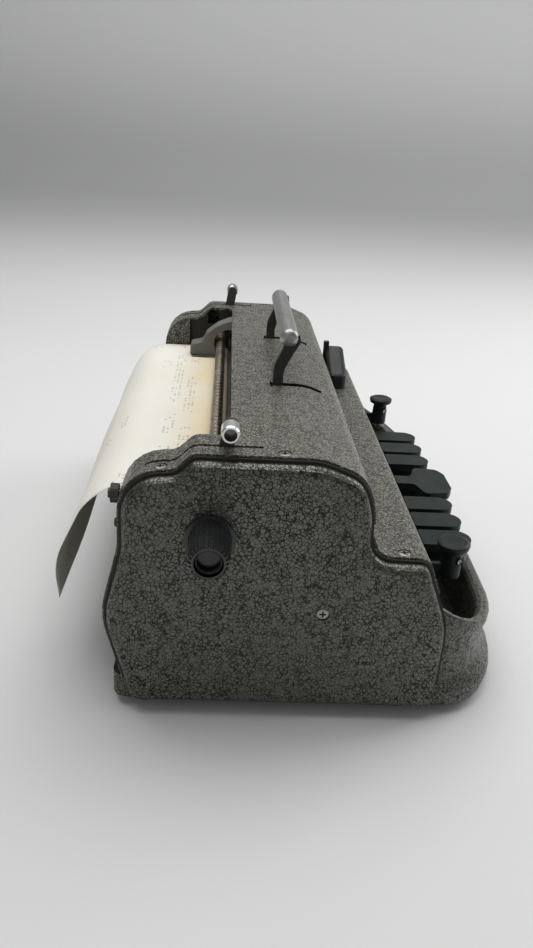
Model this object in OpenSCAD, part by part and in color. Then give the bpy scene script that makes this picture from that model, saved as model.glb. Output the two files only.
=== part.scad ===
// Manual braille writer, handle raised and a sheet of paper loaded.
// X runs along the machine, left to right for the user. The keys are at -Y, the paper leaves at +Y.
// Z = 0 is the table top. The origin is on the table, midway between the end panels.

/* [Case] */
// Half length of the machine to the seams of the end panels
seam_x = 168; // [160:1:176]
// Thickness of a cast end panel
panel_t = 7; // [6:0.5:9]
// Radius of the end panels' outer edges
panel_edge_r = 5.5; // [3:0.5:5.5]
// Width of the dark groove between cover and end panel
seam_gap = 1.3; // [1:0.1:1.5]
// How far the end panels' outlines stay inside the covers' outline
seam_groove = 2.4; // [1.6:0.1:2.6]
// Height of the top plateau above the table
top_z = 147.8; // [144:0.2:152]
// Height of the keyboard shelf above the table
shelf_z = 96.2; // [94:0.1:98]
// Sheet thickness of the covers
sheet_t = 1.6; // [1.2:0.1:2]
// Underside of the cast base above the table
base_z = 6; // [5:0.5:8]
// Wall of the cast base
base_wall = 4; // [3:0.5:6]

/* [Paper way] */
// Half length of the opening in the top cover
opening_x = 142.5; // [141:0.5:144]
// Front edge of the opening, from the origin
opening_front_y = 35; // [34:0.5:36]
// Height of the opening's lower edge in the back
opening_back_z = 108; // [100:1:110]
// Width of the paper sheet
paper_w = 279.4; // [210:0.2:281]
// Modelled thickness of the paper
paper_t = 0.3; // [0.25:0.05:0.4]
// Height of the paper's underside behind the roller
paper_z = 116.5; // [116:0.1:117]

/* [Feed] */
// Feed roller's axis, from the origin towards the back
feed_y = 43; // [42.5:0.5:43.5]
// Feed roller's axis above the table
feed_z = 107; // [106.8:0.1:107]
// Feed shaft diameter
feed_shaft_d = 8; // [6:0.5:9]
// Knob flange diameter
knob_flange_d = 25; // [22:0.5:30]
// Knob end diameter
knob_end_d = 18.5; // [15:0.5:20]
// Knob length
knob_h = 24; // [14:1:28]
// Number of grip ribs on a knob
knob_ribs = 24; // [12:1:36]
// Grooved rod diameter
rod_d = 7.2; // [6:0.2:8]
// Grooved rod's axis above the table
rod_z = 125; // [124:0.5:126]
// Distance between the rod's grooves, one per cell
rod_pitch = 6.4; // [5:0.1:8]
// Smooth rod diameter
smooth_rod_d = 5; // [4:0.5:6]
// Paper release lever's plane, from the middle
release_x = 157; // [156:0.5:158]
// Thickness of a release lever
release_t = 2; // [1.5:0.5:2.5]
// Reach of a release lever from its axis
release_r = 56; // [52:1:60]

/* [Handle] */
// Length of the round grip
grip_l = 120; // [100:2:140]
// Diameter of the round grip
grip_d = 11; // [9:0.5:14]
// Height of the grip's axis above the table, handle raised
grip_z = 176.5; // [160:0.5:185]
// Distance of the handle arms from the grip's ends
arm_inset = 5; // [4:1:15]
// Thickness of a handle arm
arm_t = 4; // [2:0.5:4.5]
// Handle pivot, from the origin
pivot_y = 8; // [7:0.5:8.5]
// Handle pivot above the table
pivot_z = 126; // [125:0.5:127]
// Handle shaft diameter
pivot_d = 7; // [6:0.5:8]

/* [Carriage] */
// Middle of the carriage in the photographed place, from the middle of the machine
carriage_x = 116; // [60:1:125]
// Half length of the carriage body
carriage_half = 15; // [12:1:16]
// Length of the embossing head's foot along the line
foot_l = 16; // [12:1:22]
// Underside of the embossing head's foot
foot_z = 117.8; // [117.6:0.1:118.4]
// Length of the carriage lever's grip
lever_l = 42; // [30:1:46]
// Diameter of the carriage rails
rail_d = 8; // [6:0.5:9]

/* [Keys] */
// Distance between neighbouring dot keys
key_pitch = 24; // [22:0.5:25]
// First dot key, from the middle
key_first_x = 37; // [34:0.5:40]
// Width of a dot key
key_w = 19; // [16:0.5:20]
// Top of the dot keys above the table
key_z = 65; // [63:0.5:66]
// Front tips of the dot keys, from the origin
key_tip_y = -115; // [-117:0.5:-113]
// Back end of the key caps, from the origin
key_root_y = -84; // [-88:0.5:-82]
// Thickness of the key caps
key_t = 5; // [4:0.5:6]
// Width of the space key's paddle
space_w = 44; // [36:1:48]
// Round keys, from the middle
round_key_x = 125; // [120:1:128]
// Diameter of the round keys
round_key_d = 18.5; // [15:0.5:20]
// Top of the round keys above the table
round_key_z = 84; // [82:0.5:88]
// Diameter of the key shaft
key_shaft_d = 8; // [6:0.5:9]

/* [Hidden] */

$fn = 48;
eps = 0.01;
shaft_gap = 0.05;
run_gap = 0.3;
panel_x = seam_x + panel_t;

// The case's outline seen from its end: [y, z, corner radius], back foot first, over the top
cover_back_z = 20;
front_foot_z = 23;
cover_front_z = 113;
strip_back_z = 102;
strip_front_z = 76;
back_y = 88.4;
shoulder_back = [back_y, 137.6, 22];
shoulder_front = [61.4, 139.2, 8];
shelf_back = [-37.6, shelf_z + 0.6, 11];
shelf_front = [-67.4, shelf_z, 8];
belly_front = [-82.4, 58, 45];
strip_end_y = shelf_front[0] + (belly_front[0] - shelf_front[0])
    * (shelf_z - strip_front_z) / (shelf_z - belly_front[1]);
upper_corners = [
    [97.7, 58, 45], [back_y, 97, 28], shoulder_back, shoulder_front,
    [52.8, top_z, 8], [-9, top_z, 32], [-30.4, 139.6, 18], [-37.8, 121, 50], shelf_back, shelf_front];
side_corners = concat([[87.2, cover_back_z, 0]], upper_corners,
    [[strip_end_y, strip_front_z, 0], belly_front, [belly_front[0], front_foot_z, 0]]);
// Height at y of the straight line from a to b
function line_z(a, b, y) = a[1] + (b[1] - a[1]) * (y - a[0]) / (b[0] - a[0]);

// A corner of an outline, rounded with its radius by an arc of n steps
function unit(v) = v / norm(v);
function corner_arc(a, b, c, r, n) =
    r <= 0 ? [[b[0], b[1]]] :
    let (p = [b[0], b[1]],
         u = unit([a[0], a[1]] - p),
         w = unit([c[0], c[1]] - p),
         half = acos(max(-1, min(1, u * w))) / 2,
         d = r / tan(half),
         m = p + unit(u + w) * r / sin(half),
         s = p + u * d - m,
         e = p + w * d - m,
         sweep = 180 - 2 * half,
         turn = (s[0] * e[1] - s[1] * e[0]) > 0 ? 1 : -1)
    [for (i = [0:n]) let (t = turn * sweep * i / n)
        m + [s[0] * cos(t) - s[1] * sin(t), s[0] * sin(t) + s[1] * cos(t)]];
function rounded(p, n = 6) = [
    for (i = [0:len(p) - 1])
        for (q = corner_arc(p[(i + len(p) - 1) % len(p)], p[i], p[(i + 1) % len(p)], p[i][2], n)) q];
// The same for an open run of points, whose two ends stay as they are
function rounded_run(p, n = 6) = concat(
    [[p[0][0], p[0][1]]],
    [for (i = [1:len(p) - 2]) for (q = corner_arc(p[i - 1], p[i], p[i + 1], p[i][2], n)) q],
    [[p[len(p) - 1][0], p[len(p) - 1][1]]]);
// Points of a run shifted sideways by d, to the left of its direction
function run_normal(p, i) =
    let (a = p[max(0, i - 1)], b = p[min(len(p) - 1, i + 1)], t = unit(b - a)) [-t[1], t[0]];
function shifted(p, d) = [for (i = [0:len(p) - 1]) p[i] + run_normal(p, i) * d];
function closed_normal(p, i) =
    let (n = len(p), t = unit(p[(i + 1) % n] - p[(i + n - 1) % n])) [-t[1], t[0]];
function inset(p, d) = [for (i = [0:len(p) - 1]) p[i] + closed_normal(p, i) * d];
// A strip of even thickness along a run of points
function strip(p, t) = concat(p, [for (i = [len(p) - 1:-1:0]) shifted(p, t)[i]]);
// A closed row of corners moved inwards by d; outer corners get tighter, inner ones wider
function corner_side(p, i) = let (n = len(p), v = [p[(i + 1) % n][0] - p[i][0], p[(i + 1) % n][1] - p[i][1]])
    unit([-v[1], v[0]]);
function moved_in(p, d) = [
    for (i = [0:len(p) - 1])
        let (a = corner_side(p, (i + len(p) - 1) % len(p)), b = corner_side(p, i),
             m = (a + b) * d / (1 + a * b), outer = a[0] * b[1] - a[1] * b[0] > 0)
        [p[i][0] + m[0], p[i][1] + m[1], outer ? max(0.3, p[i][2] - d) : p[i][2] + d]];

case_run = rounded_run(side_corners, 6);
cover_run = [for (q = case_run) if (q[0] > 0 || q[1] > cover_front_z) q];
strip_run = [for (q = case_run) if (q[0] < 0 && q[1] < strip_back_z && q[1] > strip_front_z - eps) q];

// Extrudes a shape drawn in [y, z] along X, from x0 to x1
module along_x(x0, x1) {
    translate([x0, 0, 0]) rotate([90, 0, 90]) linear_extrude(x1 - x0) children();
}
// A straight round bar along X
module bar_x(x0, x1, y, z, d) {
    translate([x0, y, z]) rotate([0, 90, 0]) cylinder(h = x1 - x0, d = d);
}
// Closed rings of points joined into one solid
module loft(rings) {
    n = len(rings[0]);
    m = len(rings);
    polyhedron(
        points = [for (r = rings) for (p = r) p],
        faces = concat(
            [[for (i = [n - 1:-1:0]) i]],
            [for (k = [0:m - 2]) for (i = [0:n - 1])
                for (f = [[k * n + i, k * n + (i + 1) % n, (k + 1) * n + (i + 1) % n],
                          [k * n + i, (k + 1) * n + (i + 1) % n, (k + 1) * n + i]]) f],
            [[for (i = [0:n - 1]) (m - 1) * n + i]]));
}

// ---- Base -------------------------------------------------------------------------------
base_back_y = 92;
base_front_y = -74;
base_rim_z = 19.6;
apron_end_y = -79;
apron_corner = [66, 40];
apron_bow = 2;
apron_side_x = seam_x - 2;
apron_steps = 9;
apron_rim_z = 44;
apron_cheek_z = 70;
apron_floor_t = 3;

// Half of the apron's plan line, from the left end panel to the middle of the front
function apron_half() = concat(
    [[-apron_side_x, base_front_y]],
    [for (i = [0:apron_steps]) let (a = 90 * i / apron_steps)
        [-apron_side_x + apron_corner[0] * (1 - cos(a)), apron_end_y - apron_corner[1] * sin(a)]],
    [for (i = [1:4]) let (f = i / 5)
        [(-apron_side_x + apron_corner[0]) * (1 - f),
         apron_end_y - apron_corner[1] - apron_bow * (1 - (1 - f) * (1 - f))]]);
function apron_line() =
    let (h = apron_half())
    concat(h, [[0, apron_end_y - apron_corner[1] - apron_bow]],
        [for (i = [len(h) - 1:-1:0]) [-h[i][0], h[i][1]]]);
// Cross-section of the apron wall: [outward, z share of the rim above the foot]
foot_profile = [[6.5, 0], [7.5, 4.5], [6.5, 8.5], [4, 12], [1, 16], [0, 21]];
rim_profile = [[0.5, 0.55], [2, 0.8], [2.2, 0.92], [0.5, 1], [-2.5, 1], [-4.5, 0.93], [-5.5, 0.8]];
inner_profile = [[-5, 21], [-4.5, 8], [-4.5, 0]];
function rim_height(i, n) =
    let (u = min(i, n - 1 - i) / (apron_steps + 1))
    apron_rim_z + (apron_cheek_z - apron_rim_z) * pow(max(0, 1 - u), 2);
// Near the end panels the foot and rim draw in, to pass inside them
apron_flare_min = 0.15;
function apron_flare(i, n) =
    apron_flare_min + (1 - apron_flare_min) * sin(90 * min(1, min(i, n - 1 - i) / 5));
function apron_ring(p, i) =
    let (out = -run_normal(p, i), h = rim_height(i, len(p)) - base_z, low = foot_profile[5][1],
         flare = apron_flare(i, len(p)),
         sec = concat(foot_profile, [for (q = rim_profile) [q[0], low + (h - low) * q[1]]],
            inner_profile))
    [for (q = sec) let (d = q[0] > 0 ? q[0] * flare : q[0])
        [p[i][0] + out[0] * d, p[i][1] + out[1] * d, base_z + q[1]]];

foot_x = seam_x - 14;
foot_y = [base_front_y + 12, base_back_y - 16];
foot_hole_d = 4.2;
boss_h = 12;

// The cast ring that the case, the side plates and the feet are bolted to
module base_casting() {
    floor_line = shifted(apron_line(), -inner_profile[2][0]);
    color("dimgray")
        difference() {
            union() {
                translate([0, 0, base_z]) linear_extrude(base_rim_z - base_z)
                    difference() {
                        polygon(rounded([
                            [-seam_x, base_front_y, 5], [seam_x, base_front_y, 5],
                            [seam_x, base_back_y, 7], [-seam_x, base_back_y, 7]]));
                        polygon(rounded([
                            [-seam_x + base_wall, base_front_y + base_wall, 3],
                            [seam_x - base_wall, base_front_y + base_wall, 3],
                            [seam_x - base_wall, base_back_y - 2 * base_wall, 5],
                            [-seam_x + base_wall, base_back_y - 2 * base_wall, 5]]));
                    }
                // Floor of the trough, up to the apron's wall
                translate([0, 0, base_z]) linear_extrude(apron_floor_t)
                    polygon(concat([[floor_line[0][0], base_front_y + 1]], floor_line,
                        [[-floor_line[0][0], base_front_y + 1]]));
                for (x = [-foot_x, foot_x], y = foot_y)
                    translate([x, y, base_z]) cylinder(h = boss_h, d = foot_d);
            }
            for (x = [-foot_x, foot_x], y = foot_y)
                translate([x, y, base_z - 1]) cylinder(h = boss_h - 1, d = foot_hole_d);
        }
}
// The wall of the trough round the keys, with its flared foot
module front_apron() {
    line = apron_line();
    color("dimgray") loft([for (i = [0:len(line) - 1]) apron_ring(line, i)]);
}

plate_t = 1.2;
module bottom_plate() {
    color("#3a3c3b")
        difference() {
            translate([0, 0, base_z - plate_t]) linear_extrude(plate_t)
                polygon(rounded([
                    [-seam_x + 1, base_front_y + 4, 6], [seam_x - 1, base_front_y + 4, 6],
                    [seam_x - 1, base_back_y - 4, 6], [-seam_x + 1, base_back_y - 4, 6]]));
            for (x = [-foot_x, foot_x], y = foot_y)
                translate([x, y, base_z - 3]) cylinder(h = 6, d = foot_hole_d);
        }
}

foot_d = 20;
module rubber_feet() {
    color("#1c1c1c")
        for (x = [-foot_x, foot_x], y = foot_y)
            translate([x, y, 0])
                rotate_extrude()
                    polygon([[0, 0], [foot_d / 2 - 1, 0], [foot_d / 2, 1],
                             [foot_d / 2 - 1.5, base_z - plate_t], [0, base_z - plate_t]]);
}

// ---- Case -------------------------------------------------------------------------------
panel_foot_z = 7.8;
panel_corners = concat([[87.2, cover_back_z, 12]], upper_corners,
    [belly_front, [belly_front[0], panel_foot_z - seam_groove, 8],
     [84, panel_foot_z - seam_groove, 8]]);
shaft_hole_d = feed_shaft_d + 2;
panel_screw_y = -15;
panel_screw_z = 66;

// One end panel: a cast plate with a rounded outer edge, inside the covers' outline
module end_panel(side) {
    steps = 5;
    r = panel_edge_r;
    outline = rounded(moved_in(panel_corners, seam_groove), 6);
    rings = concat(
        [[for (q = inset(outline, 0.8)) [0, q[0], q[1]]]],
        [for (k = [0:steps]) let (a = 90 * k / steps)
            [for (q = inset(outline, r * 0.8 * (1 - cos(a))))
                [panel_t - seam_gap - r + r * sin(a), q[0], q[1]]]]);
    color("dimgray")
        translate([side * (seam_x + run_gap), 0, 0])
            mirror([side < 0 ? 1 : 0, 0, 0])
                difference() {
                    translate([seam_gap, 0, 0]) loft(rings);
                    translate([seam_gap - 1, feed_y, feed_z]) rotate([0, 90, 0])
                        cylinder(h = panel_t + 2, d = shaft_hole_d);
                    translate([panel_t - screw_sink, panel_screw_y, panel_screw_z]) rotate([0, 90, 0])
                        cylinder(h = 3, d = screw_head_d + 2 * screw_ring);
                }
}
// The dark strip in the groove between cover and end panel
seam_strip_edge = 1;
seam_strip_w = 6;
module seam_strip(side) {
    x = side * (seam_x + run_gap);
    color("#1f1e1b")
        along_x(min(x, x + side * seam_gap), max(x, x + side * seam_gap))
            difference() {
                polygon(rounded(moved_in(panel_corners, seam_strip_edge), 6));
                polygon(rounded(moved_in(panel_corners, seam_strip_edge + seam_strip_w), 6));
                translate([-200, 0]) square([400, cover_back_z]);
            }
}

arm_x = grip_l / 2 - arm_inset;
handle_slot_y = [-19.2, 12];
handle_cross_y = 10.8;
handle_cross_w = 9.6;
slit_y = [19, 76];
slit_floor_z = 120;
screw_head_d = 6;
screw_sink = sheet_t / 2;
screw_ring = 0.45;
screw_x = seam_x - 5;
// Where the screws of the covers lie in the shelf, the top and the shoulder: [y, z]
cover_screws = [[-55, line_z(shelf_back, shelf_front, -55)], [9, top_z],
    [68, line_z(shoulder_back, shoulder_front, 68)]];
module screw_recess(y, z) {
    for (s = [-1, 1])
        translate([s * screw_x, y, z - screw_sink]) cylinder(h = 3, d = screw_head_d + 2 * screw_ring);
}
module case_holes() {
    // Paper opening, with rounded front corners
    translate([0, 0, opening_back_z]) linear_extrude(80)
        polygon(rounded([
            [-opening_x, opening_front_y, 3], [opening_x, opening_front_y, 3],
            [opening_x, 120, 0], [-opening_x, 120, 0]]));
    // Slots for the handle arms
    for (s = [-1, 1])
        translate([s * arm_x - arm_t / 2 - 0.8, handle_slot_y[0], top_z - 22])
            cube([arm_t + 1.6, handle_slot_y[1] - handle_slot_y[0], 30]);
    // A short cross cut at the back end of each slot
    for (s = [-1, 1])
        translate([s * arm_x - handle_cross_w / 2, handle_cross_y, top_z - 22])
            cube([handle_cross_w, handle_slot_y[1] - handle_cross_y, 30]);
    // Slits for the release levers
    for (s = [-1, 1])
        translate([s * release_x - release_t / 2 - run_gap, slit_y[0], slit_floor_z])
            cube([release_t + 2 * run_gap, slit_y[1] - slit_y[0], top_z]);
}

cheek_y = 69;
thumb_x = -157;
thumb_z = 120.6;
// Screws on the back beside the thumb nut: [z, diameter, height of the head]
rear_screw_x = 160;
rear_screws_at = [[106.2, 5, 2.6], [113.7, 4, 1.2]];
rear_sink = 0.3;
module top_cover() {
    color("#8a8b82")
        difference() {
            union() {
                difference() {
                    along_x(-seam_x, seam_x) polygon(strip(cover_run, sheet_t));
                    case_holes();
                }
                // Cheeks that close the rear shoulder beside the paper
                for (x = [opening_x, -opening_x - sheet_t])
                    along_x(x, x + sheet_t)
                        intersection() {
                            polygon(inset(concat(case_run, [[-70, 21], [80, 21]]), sheet_t / 2));
                            translate([cheek_y, paper_z]) square(60);
                        }
            }
            translate([thumb_x, back_y - 6, thumb_z]) rotate([-90, 0, 0]) cylinder(h = 10, d = 4.4);
            for (q = cover_screws) if (q[0] > 0) screw_recess(q[0], q[1]);
            // Flat seats of the rear screws
            for (s = [-1, 1], q = rear_screws_at)
                translate([s * rear_screw_x, back_y - rear_sink, q[0]]) rotate([-90, 0, 0])
                    cylinder(h = 4, d = q[1] + 1);
        }
}

module keyboard_strip() {
    color("#8a8b82")
        difference() {
            along_x(-seam_x, seam_x) polygon(strip(strip_run, sheet_t));
            for (q = cover_screws) if (q[0] < 0) screw_recess(q[0], q[1]);
        }
}

side_x = 151;
side_t = 2.5;
foot_edge_y = [-50, 60];
// A steel side plate inside the case: it stands on the bottom plate and has a notch by the rods
module side_plate(side) {
    color("#3c3d38")
        for (s = side < 0 ? [pawl_stud, bell_stud, hammer_stud] : [drum_stud]) stud(side, s);
    inner = inset(concat(case_run, [[-70, 21], [80, 21]]), sheet_t + 0.6);
    color("#3c3d38")
        difference() {
            along_x(side * side_x - side_t / 2, side * side_x + side_t / 2)
                difference() {
                    union() {
                        polygon(inner);
                        translate([foot_edge_y[0], base_z]) square([foot_edge_y[1] - foot_edge_y[0], 30]);
                    }
                    translate([feed_y + 7, top_z - 9]) square([9, 12], center = true);
                }
            bar_x(side * side_x - 5, side * side_x + 5, feed_y, feed_z, feed_shaft_d + 2 * shaft_gap);
            bar_x(side * side_x - 5, side * side_x + 5, pressure_y, pressure_z,
                pressure_shaft_d + 2 * shaft_gap);
        }
}
// Studs on the outside of a side plate carry what turns there: [y, z, diameter, length]
module stud(side, s) {
    x = side * (side_x + side_t / 2);
    bar_x(min(x, x + side * s[3]), max(x, x + side * s[3]), s[0], s[1], s[2]);
}

// A domed head with a cross recess
module screw_head(d, h) {
    difference() {
        rotate_extrude()
            polygon([[0, 0], [d / 2, 0], [d / 2, h * 0.55], [d * 0.42, h * 0.8], [d * 0.25, h * 0.95], [0, h]]);
        for (a = [0, 90])
            rotate([0, 0, a]) translate([-d * 0.3, -d * 0.07, h * 0.35]) cube([d * 0.6, d * 0.14, 4]);
    }
}
module case_screws() {
    color("silver") {
        for (s = [-1, 1], q = cover_screws)
            translate([s * screw_x, q[0], q[1] - screw_sink + eps])
                screw_head(screw_head_d, screw_sink);
        for (s = [-1, 1])
            translate([s * (panel_x + run_gap - screw_sink + eps), panel_screw_y, panel_screw_z])
                rotate([0, s * 90, 0]) screw_head(screw_head_d, screw_sink);
    }
}
module rear_screws() {
    color("dimgray")
        for (s = [-1, 1], q = rear_screws_at)
            translate([s * rear_screw_x, back_y - rear_sink + eps, q[0]]) rotate([-90, 0, 0])
                screw_head(q[1], q[2]);
}
thumb_d = 9.7;
thumb_h = 4;
thumb_ribs = 24;
module thumb_nut() {
    color("#5b5c56")
        translate([thumb_x, back_y + eps, thumb_z]) rotate([-90, 0, 0]) {
            difference() {
                cylinder(h = thumb_h, d = thumb_d);
                for (i = [1:thumb_ribs])
                    rotate([0, 0, i * 360 / thumb_ribs]) translate([thumb_d / 2, 0, -1])
                        cylinder(h = thumb_h + 2, d = 0.7, $fn = 16);
            }
            // End of the screw with its slot, and its shank through the cover
            translate([0, 0, thumb_h])
                difference() {
                    cylinder(h = 1.3, d = 5);
                    translate([-3, -0.4, 0.5]) cube([6, 0.8, 2]);
                }
            translate([0, 0, -3]) cylinder(h = 3, d = 4);
        }
}

// ---- Rods and rails ---------------------------------------------------------------------
inner_x = side_x - side_t / 2;
module grooved_rod() {
    count = floor(2 * opening_x / rod_pitch);
    color("#8c8273")
        translate([-inner_x, feed_y, rod_z]) rotate([0, 90, 0])
            difference() {
                cylinder(h = 2 * inner_x, d = rod_d);
                for (i = [0:count])
                    translate([0, 0, inner_x + (i - count / 2) * rod_pitch])
                        rotate_extrude() translate([rod_d / 2 + 0.3, 0]) circle(d = 2.2, $fn = 16);
            }
}
smooth_rod_y = 35;
smooth_rod_z = 121;
module smooth_rod() {
    color("#4a4843") bar_x(-inner_x, inner_x, smooth_rod_y, smooth_rod_z, smooth_rod_d);
}
module handle_shaft() {
    color("silver") bar_x(-inner_x, inner_x, pivot_y, pivot_z, pivot_d);
}
rail_y = [-20, 23];
rail_z = [106, 106];
module carriage_rails() {
    color("silver")
        for (k = [0, 1]) bar_x(-inner_x, inner_x, rail_y[k], rail_z[k], rail_d);
}
rack_y = 2;
rack_top_z = 96;
module rack_bar() {
    teeth = floor(2 * 133 / rod_pitch);
    color("#777a7c")
        difference() {
            translate([-inner_x, rack_y - 2, rack_top_z - 10]) cube([2 * inner_x, 4, 10]);
            for (i = [0:teeth])
                translate([(i - teeth / 2) * rod_pitch, rack_y, rack_top_z])
                    rotate([90, 45, 0]) cube([3.2, 3.2, 6], center = true);
        }
}

// ---- Paper ------------------------------------------------------------------------------
roller_r = paper_z - feed_z - run_gap;
wrap_r = roller_r + run_gap;
// The sheet seen from its end: round the roller from below, back over the table, down behind
paper_curve = [
    [98, paper_z, 30], [111, 102, 25], [126, 70, 40], [123.5, 48, 0]];
paper_run = concat(
    [[feed_y + 6, feed_z - wrap_r]],
    [for (i = [0:12]) let (a = -90 - 15 * i) [feed_y + wrap_r * cos(a), feed_z + wrap_r * sin(a)]],
    [for (i = [1:len(rounded_run(concat([[feed_y + 1, paper_z, 0]], paper_curve), 8)) - 1])
        rounded_run(concat([[feed_y + 1, paper_z, 0]], paper_curve), 8)[i]]);
module paper_sheet() {
    color("#efe9d6") along_x(-paper_w / 2, paper_w / 2) polygon(strip(paper_run, paper_t));
}
table_y = [66, 84];
module paper_table() {
    color("#45463f")
        along_x(-inner_x, inner_x)
            polygon(rounded([[table_y[0], paper_z - run_gap, 1], [table_y[1], paper_z - run_gap, 6],
                [table_y[1], opening_back_z - 12, 0], [table_y[1] - 1.5, opening_back_z - 12, 0],
                [table_y[1] - 1.5, paper_z - 1.8, 4], [table_y[0], paper_z - 1.8, 0.5]]));
}

// ---- Feed -------------------------------------------------------------------------------
knob_x = panel_x + run_gap + 0.4;
knob_recess = 5;
knob_wall = 2.3;
knob_web = 2;
module feed_roller() {
    shaft_x = knob_x + knob_h - knob_recess - knob_web - run_gap;
    color("#2c2b29") bar_x(-opening_x - 2, opening_x + 2, feed_y, feed_z, 2 * roller_r);
    color("silver") bar_x(-shaft_x, shaft_x, feed_y, feed_z, feed_shaft_d);
}
module knob(side) {
    color("#2d2f30")
        translate([side * knob_x, feed_y, feed_z]) rotate([0, side * 90, 0])
            difference() {
                union() {
                    cylinder(h = 3, d = knob_flange_d);
                    rotate_extrude()
                        polygon([[0, 2], [knob_flange_d / 2 - 1.8, 2], [knob_end_d / 2, knob_h - 1.5],
                                 [knob_end_d / 2 - 1.5, knob_h], [0, knob_h]]);
                }
                translate([0, 0, knob_h - knob_recess])
                    cylinder(h = knob_recess + 1, d = knob_end_d - 2 * knob_wall);
                translate([0, 0, -1])
                    cylinder(h = knob_h - knob_recess - knob_web + 1, d = feed_shaft_d);
                for (i = [0:knob_ribs - 1])
                    rotate([0, 0, i * 360 / knob_ribs])
                        translate([knob_flange_d / 2 - 1.4, 0, 3.4]) rotate([0, -7, 0])
                            cylinder(h = knob_h, d = 1.4, $fn = 16);
            }
}
ratchet_r = 14;
ratchet_teeth = 24;
ratchet_x = -side_x - 12;
ratchet_t = 3;
module ratchet_wheel() {
    color("#8d8f90")
        difference() {
            along_x(ratchet_x - ratchet_t / 2, ratchet_x + ratchet_t / 2)
                translate([feed_y, feed_z])
                    polygon([for (i = [0:ratchet_teeth - 1]) for (k = [0, 1])
                        let (a = (i + k * 0.8) * 360 / ratchet_teeth, r = ratchet_r - (k == 0 ? 0 : 1.8))
                        [r * cos(a), r * sin(a)]]);
            bar_x(ratchet_x - 5, ratchet_x + 5, feed_y, feed_z, feed_shaft_d);
        }
}
pawl_y = 62;
pawl_z = 84;
pawl_stud = [pawl_y, pawl_z, 4, 13];
module detent_pawl() {
    color("#a5a7a8")
        difference() {
            union() {
                along_x(ratchet_x - ratchet_t / 2, ratchet_x + ratchet_t / 2)
                    polygon(rounded([[pawl_y - 3, pawl_z, 1], [pawl_y + 4, pawl_z - 1, 2],
                        [pawl_y + 2, pawl_z + 8, 4], [feed_y + 10.9, feed_z - 9.4, 0.4],
                        [feed_y + 9.4, feed_z - 10.9, 0.4]]));
                bar_x(ratchet_x - ratchet_t / 2, ratchet_x + ratchet_t / 2, pawl_y, pawl_z, 8);
            }
            bar_x(ratchet_x - 5, ratchet_x + 5, pawl_y, pawl_z, pawl_stud[2] + 2 * shaft_gap);
        }
}
pressure_shaft_d = 4;
pressure_r = 4.5;
pressure_y = feed_y;
pressure_z = feed_z - wrap_r - paper_t - run_gap - pressure_r;
module pressure_rollers() {
    color("#2c2b29")
        for (x = [-95, -32, 32, 95]) bar_x(x - 14, x + 14, pressure_y, pressure_z, 2 * pressure_r);
    color("silver") bar_x(-inner_x - 1.5, inner_x + 1.5, pressure_y, pressure_z, pressure_shaft_d);
}
lean = 8.5;
module release_lever(side) {
    color("#4e4f49")
        translate([side * release_x, feed_y, feed_z]) rotate([lean, 0, 0])
            rotate([0, 90, 0]) translate([0, 0, -release_t / 2])
                difference() {
                    union() {
                        cylinder(h = release_t, d = 15);
                        translate([-release_r + 3.5, -3.5, 0]) cube([release_r - 3.5, 7, release_t]);
                        translate([-release_r + 3.5, 0, 0]) cylinder(h = release_t, d = 7);
                    }
                    translate([0, 0, -1]) cylinder(h = 5, d = feed_shaft_d + 2 * shaft_gap);
                    translate([-release_r + 4, 0, -1]) cylinder(h = 5, d = 3);
                }
}
button_d = 9;
module release_button(side) {
    color("gainsboro")
        translate([side * release_x, feed_y, feed_z]) rotate([lean, 0, 0])
            translate([side * release_t / 2, 0, release_r - 4]) rotate([0, side * 90, 0]) {
                rotate_extrude()
                    polygon([[0, 0], [3.2, 0], [3.2, 2], [button_d / 2, 3], [button_d / 2, 11.5],
                             [button_d / 2 - 0.6, 12.5], [button_d / 2 - 1.4, 12.5],
                             [button_d / 2 - 1.7, 8], [0, 8]]);
                translate([0, 0, -release_t]) cylinder(h = release_t, d = 3);
            }
}

// ---- Handle -----------------------------------------------------------------------------
grip_y = 2.5;
grip_end_r = 4;
arm_hook = 1.4;
module handle_grip() {
    color("#b9bcbf")
        translate([0, grip_y, grip_z]) rotate([0, 90, 0]) translate([0, 0, -grip_l / 2])
            rotate_extrude()
                polygon(rounded([[0, 0, 0], [grip_d / 2, 0, grip_end_r], [grip_d / 2, grip_l, grip_end_r],
                    [0, grip_l, 0]]));
}
// A flat curved arm: up from the shaft through its slot, then forward under and round the grip
module handle_arm(side) {
    rise = grip_z - pivot_z;
    r = grip_d / 2;
    color("#3b3b37")
        difference() {
            union() {
                along_x(side * arm_x - arm_t / 2, side * arm_x + arm_t / 2)
                    polygon(rounded([
                        [pivot_y - 3, pivot_z, 1], [pivot_y + 3.2, pivot_z, 1],
                        [pivot_y + 2.4, pivot_z + 0.32 * rise, 20],
                        [pivot_y + 2.4, pivot_z + 0.66 * rise, 14],
                        [grip_y + 0.35 * r, grip_z - 0.6 * r, 0],
                        [grip_y - 0.8 * r, grip_z + 0.3 * r, 0],
                        [grip_y - r - 0.5 * arm_hook, grip_z + 0.3 * r, 0.3],
                        [grip_y - r - arm_hook, grip_z - 0.5 * r, 3],
                        [grip_y - 0.55 * r, grip_z - 1.7 * r, 8],
                        [pivot_y - 3.2, pivot_z + 0.6 * rise, 14],
                        [pivot_y - 3.6, pivot_z + 0.35 * rise, 20]]));
                bar_x(side * arm_x - arm_t / 2, side * arm_x + arm_t / 2, pivot_y, pivot_z, pivot_d + 5);
                bar_x(side * arm_x - 4, side * arm_x + 4, pivot_y, pivot_z, pivot_d + 3.6);
            }
            bar_x(side * arm_x - 6, side * arm_x + 6, pivot_y, pivot_z, pivot_d + 2 * shaft_gap);
            bar_x(side * arm_x - 6, side * arm_x + 6, grip_y, grip_z, grip_d);
        }
}

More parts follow.
